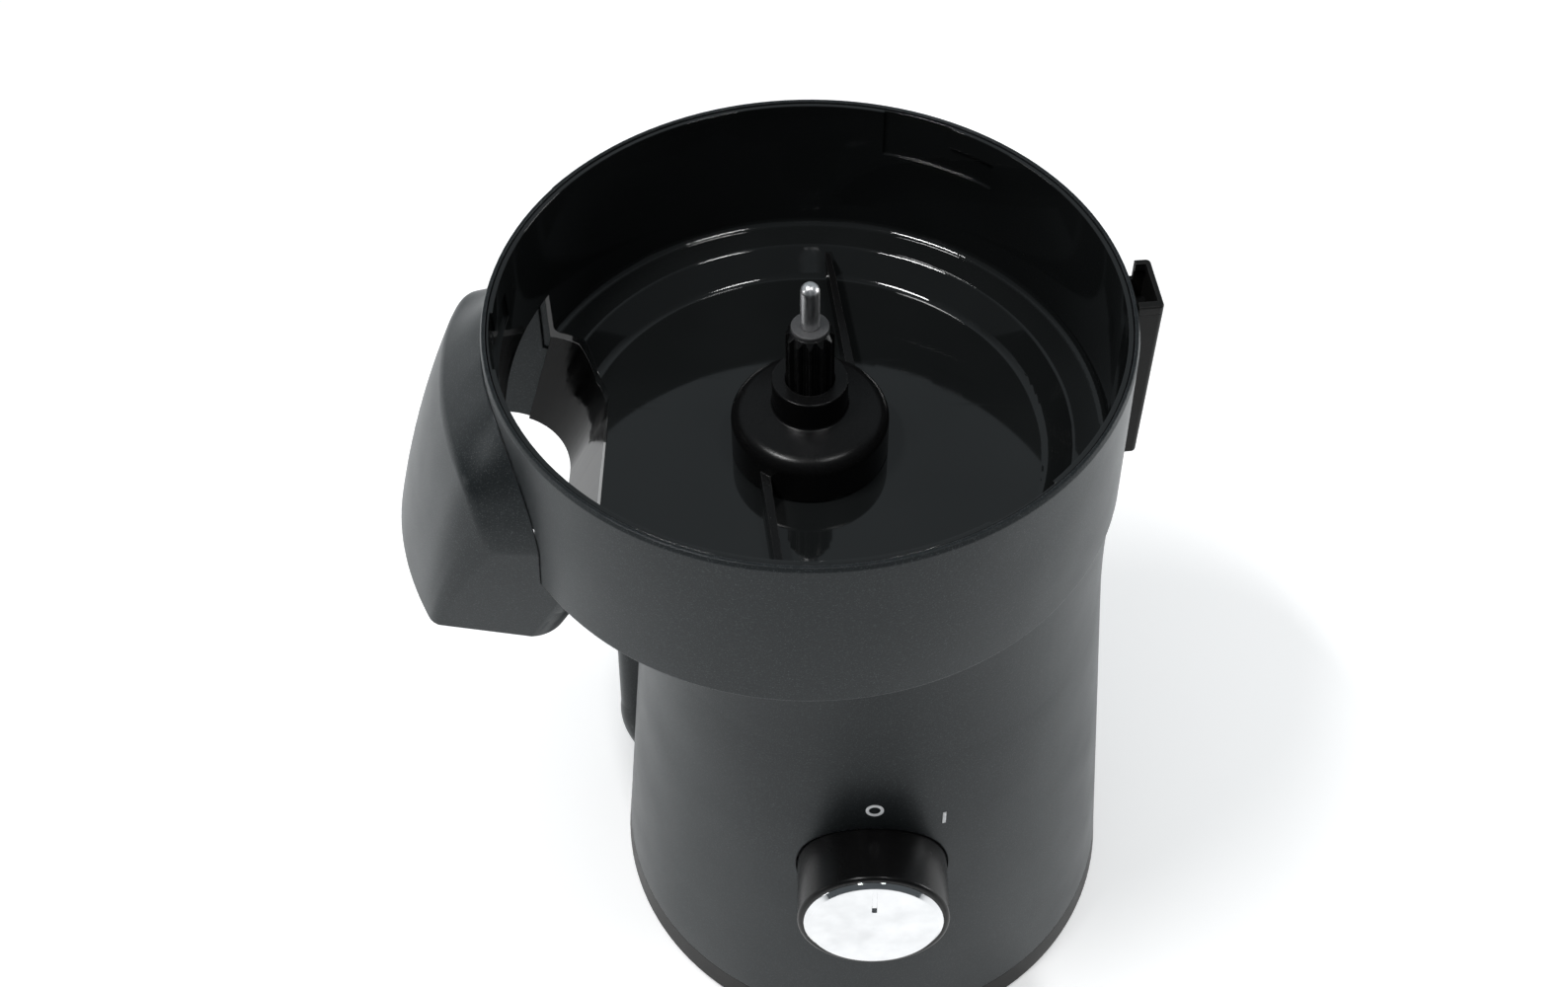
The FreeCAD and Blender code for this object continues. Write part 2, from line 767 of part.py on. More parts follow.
def commutator():
    ring = tube(11.0, SPINDLE_R, 38.0, 52.0, MOTOR_X)
    slot = box(9.5, 12.0, -0.3, 0.3, 37, 50)
    for turn in range(24):
        ring = ring.cut(moved(turned(slot, 15 * turn), MOTOR_X, 0, 0))
    return ring


def motor_fan():
    low = 117.0
    hub = tube(10.0, SPINDLE_R, low, low + 12, MOTOR_X)
    disc = tube(33.0, 9.0, low + 10, low + 12, MOTOR_X)
    blade = box(9.5, 32.5, -0.8, 0.8, low + 1, low + 11)
    blades = [moved(turned(blade, 30 * n), MOTOR_X, 0, 0) for n in range(12)]
    return joined([hub, disc] + blades)


def stator_core():
    outside = cylinder(STATOR_R, 60.0, 106.0, MOTOR_X)
    flats = box(MOTOR_X - 50, MOTOR_X + 50, -33, 33, 60, 106)
    core = outside.common(flats)
    core = core.cut(cylinder(ROTOR_R + 0.6, 59, 107, MOTOR_X))
    window = box(-8, 8, 20.0, 29.0, 59, 107)
    pockets = []
    for turn in (60, 120, 240, 300):
        pockets.append(moved(turned(window, turn - 90), MOTOR_X, 0, 0))
    return cut_all(core, pockets)


def field_coils():
    """Two saddle windings, one each side of the armature."""
    coils = []
    for turn in (90, 270):
        outer = sector(24.0, 31.0, -38, 38, 50, 59.8)
        upper = sector(24.0, 31.0, -38, 38, 106.2, 114.5)
        for piece in (outer, upper):
            coils.append(moved(turned(piece, turn - 90), MOTOR_X, 0, 0))
    return Part.makeCompound(coils)


def carbon_brushes():
    brush = box(11.3, 23.0, -3.0, 3.0, 40.0, 48.0)
    return Part.makeCompound([moved(turned(brush, n), MOTOR_X, 0, 0) for n in (90, 270)])


def brush_holders():
    outside = box(13.0, 30.0, -4.4, 4.4, 38.6, 49.4)
    inside = box(12.0, 28.8, -3.1, 3.1, 39.9, 48.1)
    holder = outside.cut(inside)
    return Part.makeCompound([moved(turned(holder, n), MOTOR_X, 0, 0) for n in (90, 270)])


def motor_bearings():
    low = ball_bearing(11.0, SPINDLE_R + RUN, 24.0, 7.0, MOTOR_X)
    high = ball_bearing(11.0, SPINDLE_R + RUN, 136.0, 7.0, MOTOR_X)
    return Part.makeCompound([low, high])


def motor_posts(radius, low, high):
    """Four posts at the corners of the stator's clamp."""
    places = [(sx * 29.0, sy * 29.0) for sx in (-1, 1) for sy in (-1, 1)]
    return [cylinder(radius, low, high, MOTOR_X + x, y) for x, y in places]


def motor_top_bracket():
    cup = tube(14.0, 11.05, 133.0, 143.2, MOTOR_X)
    lid = tube(14.0, SPINDLE_R + 1.0, 143.2, 144.6, MOTOR_X)
    plate = box(MOTOR_X - 35, MOTOR_X + 35, -35, 35, 133.0, 136.0)
    plate = plate.cut(cylinder(12.5, 130, 140, MOTOR_X))
    window = box(-9, 9, 17, 31, 130, 140)
    for turn in (0, 90, 180, 270):
        plate = plate.cut(moved(turned(window, turn), MOTOR_X, 0, 0))
    posts = motor_posts(5.0, 106.1, 133.0)
    bracket = joined([cup, lid, plate] + posts)
    stator_space = cylinder(STATOR_R + 0.2, 105.0, 106.05, MOTOR_X)
    return cut_all(bracket, motor_posts(2.1, 100, 140) + [stator_space])


def motor_bottom_bracket():
    cup = tube(14.0, 11.05, 22.6, 34.0, MOTOR_X)
    plate = box(MOTOR_X - 35, MOTOR_X + 35, -35, 35, 31.2, 34.0)
    plate = plate.cut(cylinder(12.5, 30, 36, MOTOR_X))
    posts = motor_posts(5.0, 34.0, 59.9)
    return cut_all(joined([cup, plate] + posts), motor_posts(2.1, 20, 70))


def motor_bolts():
    """Four through bolts that clamp the brackets on the stator."""
    bolts = []
    for x in (-29.0, 29.0):
        for y in (-29.0, 29.0):
            head = Part.makeCylinder(4.0, 3.0, V(MOTOR_X + x, y, 28.1), UP)
            shank = Part.makeCylinder(2.0, 118.0, V(MOTOR_X + x, y, 30.0), UP)
            bolts.append(head.fuse(shank))
    return Part.makeCompound(bolts)


def vibration_mounts():
    """Rubber bushes between the motor's top bracket and the deck."""
    bushes = []
    for x in (-29.0, 29.0):
        for y in (-29.0, 29.0):
            profile = [(2.1, 136.1), (7.0, 136.1), (5.5, 143.0), (7.0, 149.9), (2.1, 149.9)]
            bush = revolve(profile)
            bushes.append(moved(bush, MOTOR_X + x, y, 0))
    return Part.makeCompound(bushes)


def motor_deck():
    """Floor that carries the motor and closes off the belt space."""
    deck = cylinder(body_radius(DECK_Z) - BODY_T - 0.4, DECK_Z, DECK_Z + 3, BODY_X)
    rim_r = body_radius(DECK_Z + 9) - BODY_T - 0.5
    rim = tube(rim_r, rim_r - 2.3, DECK_Z + 3, DECK_Z + 9, BODY_X)
    deck = deck.fuse(rim)
    holes = [
        cylinder(7.0, DECK_Z - 5, DECK_Z + 5),
        cylinder(16.0, DECK_Z - 5, DECK_Z + 5, MOTOR_X),
    ]
    for hole in motor_posts(2.1, DECK_Z - 5, DECK_Z + 5):
        holes.append(hole)
    for turn in range(10):
        vent = box(56, 68, -4, 4, DECK_Z - 1, DECK_Z + 4)
        holes.append(moved(turned(vent, 18 * turn + 99), BODY_X, 0, 0))
    return cut_all(deck, holes)


# ---------------------------------------------------------------- housing

def housing_skin(low):
    outside = body_solid(0.0, low, BAND_Z + 2)
    inside = body_solid(BODY_T, low - 1, BAND_Z + 3)
    return outside.cut(inside).cut(above_underside(0.25))


def half(front):
    """Everything in front of, or behind, the parting plane."""
    if front:
        return box(-200, 200, -200, -GAP / 2, 0, 400)
    return box(-200, 200, GAP / 2, 200, 0, 400)


def boss_places():
    """X and Z of the screws that join the two halves."""
    places = []
    for height in BOSS_HEIGHTS:
        for side in (-1, 1):
            places.append((BODY_X + side * (body_radius(height) - BOSS_INSET), height))
    return places


def bosses(front, radius):
    start = -14.0 if front else GAP
    axis = V(0, 1, 0)
    return [Part.makeCylinder(radius, 13.8, V(x, start, z), axis) for x, z in boss_places()]


def boss_webs(front):
    """Webs that tie the bosses to the wall."""
    webs = []
    y0, y1 = (-14.0, -GAP) if front else (GAP, 14.0)
    for x, z in boss_places():
        wall = x + math.copysign(BOSS_INSET, x - BODY_X)
        webs.append(box(min(x, wall), max(x, wall), y0, y1, z - 1.2, z + 1.2))
    return webs


def half_fittings(front):
    """Bosses, webs and the deck's ledge inside one half, kept within its wall."""
    fittings = bosses(front, 4.0) + boss_webs(front)
    inside = body_solid(0.5, BASE_Z + 1, 240)
    return [f.common(inside) for f in fittings] + [deck_ledge().common(half(front))]


def knob_well(radius, low, high):
    return on_panel(cylinder(radius, low, high))


def front_housing():
    skin = housing_skin(BASE_Z + GAP).common(half(True))
    well = knob_well(29.2, -11.0, -0.3).common(body_solid(0.3, BASE_Z, 240))
    whole = joined([skin, well] + half_fittings(True))
    whole = whole.cut(knob_well(KNOB_R + 0.5, -9.0, 12.0))
    whole = whole.cut(knob_well(5.4, -20.0, 5.0))
    return cut_all(whole, bosses(True, 1.5))


def deck_ledge():
    """Rim inside the housing on which the motor deck sits."""
    outer = body_radius(DECK_Z) - BODY_T + 0.4
    return tube(outer, outer - 5, DECK_Z - 4, DECK_Z - 0.1, BODY_X)


def pillar(inset):
    """Hollow leg behind the chute, at the left of the rear cover."""
    top = CHUTE_BOTTOM - 1.5 - inset
    x_top = -71.0 + inset
    x_low = -76.5 + inset
    inner = -50.0
    points = [V(inner, 0, top), V(x_top, 0, top), V(x_low, 0, 70)]
    toe = V(-66.0, 0, 26 + inset)
    bend = Part.Arc(points[2], V(-75.3 + inset, 0, 46), toe).toShape()
    last = V(inner, 0, 26 + inset)
    wire = Part.Wire([
        Part.makeLine(points[0], points[1]),
        Part.makeLine(points[1], points[2]),
        bend,
        Part.makeLine(toe, last),
        Part.makeLine(last, points[0]),
    ])
    leg = Part.Face(wire).extrude(V(0, 38.0 - 2 * inset, 0))
    leg.translate(V(0, 8.0 + inset, 0))
    return leg


def pillar_outside():
    leg = pillar(0.0)
    edges = []
    for edge in leg.Edges:
        limits = edge.BoundBox
        along_leg = limits.YLength < 0.01 and limits.ZLength > 10
        if along_leg and limits.XMax < -60:
            edges.append(edge)
    return leg.makeFillet(5.0, edges)


def rear_cover():
    skin = housing_skin(BASE_Z + GAP).common(half(False))
    whole = joined([skin, pillar_outside()])
    whole = whole.cut(body_solid(BODY_T, BASE_Z + 8, BAND_Z + 3))
    whole = whole.cut(pillar(BODY_T))
    whole = joined([whole] + half_fittings(False))
    whole = cut_all(whole, bosses(False, 2.2))
    whole = cut_all(whole, vent_slots())
    hole = Part.makeCylinder(7.0, 40, V(BODY_X, 80, CORD_Z), V(0, 1, 0))
    return whole.cut(hole)


def vent_slots():
    """Rows of air slots low on the back."""
    slots = []
    for row in range(9):
        z = 62.0 + 7.0 * row
        for x in (-31.0, -1.0, 29.0):
            slots.append(box(BODY_X + x - 12, BODY_X + x + 14, 60, 120, z, z + 3.2))
    return slots


def housing_screws():
    screws = []
    axis = V(0, 1, 0)
    for x, z in boss_places():
        shank = Part.makeCylinder(1.45, 23.0, V(x, -9.0, z), axis)
        head = Part.makeCylinder(2.9, 2.2, V(x, 14.05, z), axis)
        neck = Part.makeCylinder(1.45, 1.0, V(x, 13.5, z), axis)
        screws.append(joined([shank, neck, head]))
    return Part.makeCompound(screws)


def base_ring():
    low = 2.5
    profile = [
        (body_radius(low) - 3.2, low),
        (body_radius(low) - 0.8, low),
        (body_radius(low), low + 1.0),
        (body_radius(BASE_Z), BASE_Z),
        (body_radius(BASE_Z) - 2.4, BASE_Z),
        (body_radius(BASE_Z) - 2.9, 12.0),
        (86.0, 12.0),
        (86.0, 9.6),
        (body_radius(low) - 3.2, 9.6),
    ]
    return revolve(profile, BODY_X)


def foot_places():
    """X and Y of the four feet, from the housing's axis."""
    half_pitch = FOOT_PITCH / 2
    return [(sx * half_pitch, sy * half_pitch) for sx in (-1, 1) for sy in (-1, 1)]


def base_plate():
    plate = cylinder(body_radius(2.5) - 3.5, 6.5, 9.5, BODY_X)
    holes = [cylinder(2.2, 0, 20, BODY_X + x, y) for x, y in foot_places()]
    for turn in range(24):
        slot = box(24, 46, -1.6, 1.6, 5, 12)
        holes.append(moved(turned(slot, 15 * turn), BODY_X, 0, 0))
    return cut_all(plate, holes)


def feet():
    profile = [(2.4, 3.0), (6.0, 3.0), (6.0, 0.0), (9.0, 0.0), (10.0, 6.4), (2.4, 6.4)]
    foot = revolve(profile)
    return Part.makeCompound([moved(foot, BODY_X + x, y, 0) for x, y in foot_places()])


def foot_screws():
    screws = []
    for x, y in foot_places():
        head = cylinder(4.4, 0.8, 2.95, BODY_X + x, y)
        shank = cylinder(2.0, 2.9, 14.0, BODY_X + x, y)
        screws.append(head.fuse(shank))
    return Part.makeCompound(screws)


def cord_bushing():
    """Rubber bushing of the mains cord's inlet; the cord itself isn't modelled."""
    wall = -body_y(CORD_Z, BODY_X)
    axis = V(0, 1, 0)

    def disc(radius, start, length):
        return Part.makeCylinder(radius, length, V(BODY_X, start, CORD_Z), axis)

    whole = joined([
        disc(9.5, wall + 1.1, 2.5),
        disc(6.8, wall - 8.0, 10.0),
        disc(8.6, wall - 8.0, 3.6),
    ])
    return whole.cut(disc(3.6, wall - 20, 40))


# ---------------------------------------------------------------- switch

def knob():
    outer = revolve([(0, -4.5), (KNOB_R, -4.5), (KNOB_R, KNOB_PROUD), (0, KNOB_PROUD)])
    outer = round_circles(outer, KNOB_R, 1.4, KNOB_PROUD - 1, KNOB_PROUD + 1)
    hollow = tube(KNOB_R - 2.2, 6.0, -5.0, KNOB_PROUD - 4.5)
    seat = cylinder(24.4, KNOB_PROUD - 1.8, KNOB_PROUD + 1)
    bore = cylinder(SWITCH_SHAFT_R, -5.0, KNOB_PROUD - 6.0)
    return on_panel(cut_all(outer, [hollow, seat, bore]))


def knob_cap():
    """Bright domed disc in the knob's face, with a pointer groove towards O."""
    profile = [
        (0, KNOB_PROUD - 1.8),
        (24.3, KNOB_PROUD - 1.8),
        (24.3, KNOB_PROUD + 0.1),
        (22.6, KNOB_PROUD + 1.5),
        (0, KNOB_PROUD + 2.2),
    ]
    cap = revolve(profile)
    groove = box(-0.9, 0.9, 9.0, 21.0, KNOB_PROUD + 1.0, KNOB_PROUD + 4)
    return on_panel(cap.cut(groove))


def switch_shaft():
    return on_panel(cylinder(SWITCH_SHAFT_R, -18.0, KNOB_PROUD - 6.1))


def rotary_switch():
    block = box(-16, 16, -16, 16, -36, -14)
    collar = cylinder(5.2, -14.1, -9.5)
    terminals = [box(x - 1.2, x + 1.2, y - 3, y + 3, -42, -35.9)
                 for x in (-9, 0, 9) for y in (-9, 9)]
    body = joined([block, collar] + terminals)
    return on_panel(body.cut(cylinder(SWITCH_SHAFT_R + RUN, -18.05, 0)))


def switch_marks():
    """Raised O and I beside the knob."""
    band = body_solid(-0.22, 60, 240).cut(body_solid(-0.01, 59, 241))
    turn = math.radians(KNOB_TRAVEL)
    ring = on_panel(tube(3.1, 2.0, -12, 4)).copy()
    up = V(0, math.sin(math.radians(PANEL_TILT)), math.cos(math.radians(PANEL_TILT)))
    ring.translate(up * MARK_R)
    bar = on_panel(box(-0.6, 0.6, -3.0, 3.0, -14, 4))
    bar.translate(up * MARK_R * math.cos(turn) + V(MARK_R * math.sin(turn), 0, 0))
    return Part.makeCompound([ring.common(band), bar.common(band)])


def control_board():
    board = box(-12, 56, 62, 63.6, 60, 118)
    return cut_all(board, [
        Part.makeCylinder(1.8, 6, V(x, 60, z), V(0, 1, 0))
        for x in (-8, 52) for z in (64, 114)
    ])


def board_parts():
    """Suppression capacitor, choke, relay and terminals on the board's front."""
    capacitor = box(-6, 14, 52, 61.9, 66, 90)
    relay = box(20, 36, 50, 61.9, 66, 84)
    choke = Part.makeCylinder(8.0, 9.0, V(6, 52.9, 104), V(0, 1, 0))
    choke = choke.cut(Part.makeCylinder(3.5, 12.0, V(6, 50, 104), V(0, 1, 0)))
    terminals = [box(x, x + 6, 54, 61.9, 98, 110) for x in (24, 33, 42)]
    return Part.makeCompound([capacitor, relay, choke] + terminals)


def board_frame():
    """Rails that hold the board upright behind the motor."""
    foot = box(-15, 59, 64.0, 68.0, 56, 60)
    sides = [box(x, x + 3.4, 61.0, 66.0, 56, 120) for x in (-15.6, 56.2)]
    grooves = [box(-12.4, 56.4, 61.7, 63.9, 59.7, 121)]
    return cut_all(joined([foot] + sides), grooves)


# ---------------------------------------------------------------- interlock

def lock_box(low, high):
    return box(99.0, LOCK_R, -LOCK_HALF, LOCK_HALF, low, high)


def interlock_clearance(clear):
    """What the interlock must stay out of: the bowl, and the housing below it."""
    return bowl_envelope(clear).fuse(body_solid(-clear, 120, BAND_Z + 2))


def interlock_tower():
    """Slim case on the bowl's side that holds the pushrod and its switch."""
    case = lock_box(LOCK_BOTTOM, LOCK_SEAM - 0.15)
    case = round_uprights(case, 1.6, lambda p: p.x > 105)
    foot_edges = [e for e in case.Edges if e.BoundBox.ZMax < LOCK_BOTTOM + 0.01
                  and e.CenterOfMass.x > 100.5]
    case = case.makeFillet(1.4, foot_edges)
    hollow = box(98.0, LOCK_R - 1.2, -LOCK_HALF + 1.5, LOCK_HALF - 1.5,
                 LOCK_BOTTOM + 1.4, LOCK_SEAM + 1)
    shelf = box(99.0, LOCK_R - 1.0, -LOCK_HALF + 1.0, LOCK_HALF - 1.0, 258.0, 260.0)
    stem_hole = cylinder(1.6, 250, 270, 103.6)
    guide_hole = shelf.cut(stem_hole)
    guides = [box(101.9, LOCK_R - 1.0, y, y + 1.0, 281.0, 290.0) for y in (-5.4, 4.4)]
    tower = joined([case.cut(hollow), guide_hole] + guides)
    notch = box(99.0, 102.6, LOCK_HALF - 2.0, LOCK_HALF + 1, 298.0, 306)
    return at_interlock(tower.cut(notch)).cut(interlock_clearance(0.15))


def interlock_cover():
    """Top piece of the interlock, with the slot that the lid's tab enters."""
    cap = lock_box(LOCK_SEAM, RIM_Z)
    cap = round_uprights(cap, 1.6, lambda p: p.x > 105)
    top_edges = [e for e in cap.Edges if e.BoundBox.ZMin > RIM_Z - 0.01
                 and e.CenterOfMass.x > 100.5]
    cap = cap.makeFillet(0.7, top_edges)
    slot = box(98.0, LOCK_R - 1.7, -LOCK_HALF + 2.6, LOCK_HALF - 2.2, 300, 310)
    notch = box(98.0, 102.6, LOCK_HALF - 3.0, LOCK_HALF + 1, 300, 310)
    cap = at_interlock(cap.cut(slot).cut(notch))
    return cap.cut(interlock_clearance(0.15))


def interlock_rod():
    """Sprung pushrod: the lid's tab presses its top."""
    blade = box(102.2, 105.0, -4.0, 4.0, 274.0, 296.5)
    edges = [e for e in blade.Edges if e.BoundBox.ZMin > 296.4 and e.BoundBox.XLength > 1]
    blade = blade.makeFillet(2.0, edges)
    stem = cylinder(1.4, 249.0, 274.1, 103.6)
    return at_interlock(joined([blade, stem]))


def interlock_spring():
    """Closed outline of the small coil spring round the rod's stem."""
    coil = tube(2.1, 1.5, 260.1, 273.9, 103.6)
    return at_interlock(coil)


def interlock_switch():
    """Subminiature microswitch under the rod."""
    body = box(101.9, 106.0, -6.4, 6.4, 238.7, 244.6)
    plunger = cylinder(0.9, 244.5, 245.6, 103.6)
    legs = [box(103.2, 103.9, y, y + 1.0, 238.5, 239.0) for y in (-5, 0, 4)]
    return at_interlock(joined([body, plunger] + legs).cut(interlock_clearance(0.2)))


# ---------------------------------------------------------------- export

NODES = {
    "bowl_liner": bowl_liner,
    "bowl_shell": bowl_shell,
    "chute_hood": chute_hood,
    "chute_ramp": chute_ramp,
    "bowl_screws": bowl_screws,
    "sweeper": sweeper,
    "drive_coupling": drive_coupling,
    "spindle": spindle,
    "retaining_washer": retaining_washer,
    "shaft_seal": shaft_seal,
    "upper_bearing": upper_bearing,
    "lower_bearing": lower_bearing,
    "bearing_housing": bearing_housing,
    "driven_pulley": driven_pulley,
    "motor_pulley": motor_pulley,
    "drive_belt": drive_belt,
    "motor_shaft": motor_shaft,
    "armature_core": armature_core,
    "armature_windings": armature_windings,
    "commutator": commutator,
    "motor_fan": motor_fan,
    "stator_core": stator_core,
    "field_coils": field_coils,
    "carbon_brushes": carbon_brushes,
    "brush_holders": brush_holders,
    "motor_bearings": motor_bearings,
    "motor_top_bracket": motor_top_bracket,
    "motor_bottom_bracket": motor_bottom_bracket,
    "motor_bolts": motor_bolts,
    "vibration_mounts": vibration_mounts,
    "motor_deck": motor_deck,
    "front_housing": front_housing,
    "rear_cover": rear_cover,
    "housing_screws": housing_screws,
    "base_ring": base_ring,
    "base_plate": base_plate,
    "feet": feet,
    "foot_screws": foot_screws,
    "cord_bushing": cord_bushing,
    "knob": knob,
    "knob_cap": knob_cap,
    "switch_shaft": switch_shaft,
    "rotary_switch": rotary_switch,
    "switch_marks": switch_marks,
    "control_board": control_board,
    "board_parts": board_parts,
    "board_frame": board_frame,
    "interlock_tower": interlock_tower,
    "interlock_cover": interlock_cover,
    "interlock_rod": interlock_rod,
    "interlock_spring": interlock_spring,
    "interlock_switch": interlock_switch,
}

os.makedirs("parts", exist_ok=True)
for name, make in NODES.items():
    shape = make()
    if not shape.isValid():
        raise ValueError(name + " isn't a valid solid")
    shape.exportStep("parts/" + name + ".step")
    print(name, len(shape.Solids), round(shape.Volume))
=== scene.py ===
import json
import math

import bpy
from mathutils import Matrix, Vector


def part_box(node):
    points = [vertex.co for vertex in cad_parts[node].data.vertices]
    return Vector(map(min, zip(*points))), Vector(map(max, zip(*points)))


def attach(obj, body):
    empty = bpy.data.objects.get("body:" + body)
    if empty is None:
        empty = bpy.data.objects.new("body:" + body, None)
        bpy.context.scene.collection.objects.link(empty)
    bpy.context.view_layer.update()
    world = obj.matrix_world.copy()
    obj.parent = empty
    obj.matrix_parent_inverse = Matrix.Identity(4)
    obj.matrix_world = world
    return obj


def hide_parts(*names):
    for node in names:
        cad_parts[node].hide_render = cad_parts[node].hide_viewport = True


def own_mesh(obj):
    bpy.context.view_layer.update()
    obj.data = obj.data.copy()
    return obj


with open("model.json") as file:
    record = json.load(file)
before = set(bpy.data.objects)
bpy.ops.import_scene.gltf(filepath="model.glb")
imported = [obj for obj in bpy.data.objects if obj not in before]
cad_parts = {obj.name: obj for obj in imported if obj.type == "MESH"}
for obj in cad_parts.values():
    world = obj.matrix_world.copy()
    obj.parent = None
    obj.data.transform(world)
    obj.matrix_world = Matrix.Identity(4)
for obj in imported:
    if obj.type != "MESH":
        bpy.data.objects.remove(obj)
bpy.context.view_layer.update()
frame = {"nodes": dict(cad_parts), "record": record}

NODES = frame["nodes"]


# ------------------------------------------------------------ material helpers

MIX_FIRST = 6                # a Mix node's sockets when it blends colours
MIX_SECOND = 7
MIX_RESULT = 2
SHADE = 0.6                  # how bright a colour's darker patches are
WORN_GREY = 0.25             # what rubbed edges fade towards
WEAR_FULL = 0.90             # cosine between the true and the rounded normal
WEAR_START = 0.985


def new_material(name):
    """An empty node material, with its tree and its Principled shader."""
    material = bpy.data.materials.new(name)
    material.use_nodes = True
    tree = material.node_tree
    shader = tree.nodes["Principled BSDF"]
    return material, tree, shader


def add_node(tree, kind, **values):
    """A node whose inputs are set by name."""
    node = tree.nodes.new(kind)
    for name, value in values.items():
        node.inputs[name.replace("_", " ")].default_value = value
    return node


def object_coords(tree, stretch=(1, 1, 1)):
    """Object coordinates in metres, scaled along each axis."""
    coords = tree.nodes.new("ShaderNodeTexCoord")
    mapping = tree.nodes.new("ShaderNodeMapping")
    mapping.inputs["Scale"].default_value = stretch
    tree.links.new(coords.outputs["Object"], mapping.inputs["Vector"])
    return mapping.outputs["Vector"]


def noise(tree, scale, detail=2.0, stretch=(1, 1, 1)):
    """Soft cloud noise, with so many features to the metre."""
    node = add_node(tree, "ShaderNodeTexNoise", Scale=scale, Detail=detail)
    tree.links.new(object_coords(tree, stretch), node.inputs["Vector"])
    return node.outputs["Fac"]


def flakes(tree, scale):
    """One random grey for each small cell, as metallic flakes show."""
    cells = add_node(tree, "ShaderNodeTexVoronoi", Scale=scale)
    tree.links.new(object_coords(tree), cells.inputs["Vector"])
    split = tree.nodes.new("ShaderNodeSeparateColor")
    tree.links.new(cells.outputs["Color"], split.inputs["Color"])
    return split.outputs["Red"]


def as_colour(value):
    """A colour with alpha, from three numbers or from one grey."""
    if isinstance(value, (int, float)):
        return (value, value, value, 1)
    return (*value, 1)


def as_dark(colour):
    """The colour as it is in its darker patches."""
    return tuple(value * SHADE for value in colour)


def ramp(tree, source, stops):
    """Colour ramp from (place, colour) stops.  A number stands for a grey."""
    node = tree.nodes.new("ShaderNodeValToRGB")
    elements = node.color_ramp.elements
    while len(elements) < len(stops):
        elements.new(0.5)
    for element, (place, colour) in zip(elements, stops):
        element.position = place
        element.color = as_colour(colour)
    tree.links.new(source, node.inputs["Fac"])
    return node.outputs["Color"]


def spread(tree, source, low, high, start=0.3, end=0.7):
    """One colour or grey running into another over part of the source's range."""
    return ramp(tree, source, [(start, low), (end, high)])


def blend(tree, factor, first, second):
    """Mix two colours, each a socket or a plain colour."""
    node = tree.nodes.new("ShaderNodeMix")
    node.data_type = "RGBA"
    tree.links.new(factor, node.inputs["Factor"])
    for place, value in ((MIX_FIRST, first), (MIX_SECOND, second)):
        if isinstance(value, bpy.types.NodeSocket):
            tree.links.new(value, node.inputs[place])
        else:
            node.inputs[place].default_value = as_colour(value)
    return node.outputs[MIX_RESULT]


def edges(tree, width):
    """A mask that is white along the surface's edges, and the Bevel node behind it.

    The mask is the angle between the true normal and one rounded over the width, broken up
    by noise so that the wear isn't even.
    """
    soft = add_node(tree, "ShaderNodeBevel", Radius=width)
    soft.samples = 4
    true = tree.nodes.new("ShaderNodeNewGeometry")
    dot = tree.nodes.new("ShaderNodeVectorMath")
    dot.operation = "DOT_PRODUCT"
    tree.links.new(soft.outputs["Normal"], dot.inputs[0])
    tree.links.new(true.outputs["Normal"], dot.inputs[1])
    mask = spread(tree, dot.outputs["Value"], 1.0, 0.0, start=WEAR_FULL, end=WEAR_START)
    patches = spread(tree, noise(tree, 320.0, 3.0), 0.25, 1.0, start=0.35, end=0.62)
    return blend(tree, mask, 0.0, patches), soft


def bump(tree, shader, source, strength, distance, under=None):
    """Surface relief, over a rounded normal where one is given."""
    node = add_node(tree, "ShaderNodeBump", Strength=strength, Distance=distance)
    tree.links.new(source, node.inputs["Height"])
    if under:
        tree.links.new(under.outputs["Normal"], node.inputs["Normal"])
    tree.links.new(node.outputs["Normal"], shader.inputs["Normal"])


def finish(tree, shader, colour, rough):
    """Give the shader its colour and its roughness."""
    tree.links.new(colour, shader.inputs["Base Color"])
    tree.links.new(rough, shader.inputs["Roughness"])


def textured(name, dark, light, rough, grain, depth, metallic=0.0, worn=0.35, shine=0.5):
    """Moulded or cast surface: mottled colour, uneven gloss, a fine grain and rubbed edges.

    The grain is in features to the metre and its depth in metres.  Worn says how far the
    edges fade, and shine is the specular level.
    """
    material, tree, shader = new_material(name)
    colour = spread(tree, noise(tree, grain, 3.0), dark, light)
    patches = spread(tree, noise(tree, 25.0, 3.0), 0.85, 1.0)
    colour = blend(tree, patches, as_dark(dark), colour)
    rubbed, soft = edges(tree, 0.0005)
    bright = tuple(max(value, value + worn * (WORN_GREY - value)) for value in light)
    colour = blend(tree, rubbed, colour, bright)
    gloss = spread(tree, noise(tree, 40.0, 4.0), *rough)
    gloss = blend(tree, rubbed, gloss, rough[0] * 0.8)
    finish(tree, shader, colour, gloss)
    bump(tree, shader, noise(tree, grain * 1.6, 2.0), 0.35, depth, soft)
    shader.inputs["Metallic"].default_value = metallic
    shader.inputs["Specular IOR Level"].default_value = shine
    return material


def lined_metal(name, dark, light, rough, lines, stretch):
    """Metal with fine lines and bright rubbed edges.  A low stretch draws the lines out."""
    material, tree, shader = new_material(name)
    drawn = noise(tree, lines, 4.0, stretch)
    stain = spread(tree, noise(tree, 70.0, 4.0), 0.75, 1.0, end=0.65)
    colour = spread(tree, drawn, dark, light)
    colour = blend(tree, stain, as_dark(dark), colour)
    rubbed, soft = edges(tree, 0.0004)
    colour = blend(tree, rubbed, colour, light)
    finish(tree, shader, colour, spread(tree, drawn, *rough))
    bump(tree, shader, drawn, 0.12, 0.00002, soft)
    shader.inputs["Metallic"].default_value = 1.0
    return material


# ------------------------------------------------------------ plastics and rubber

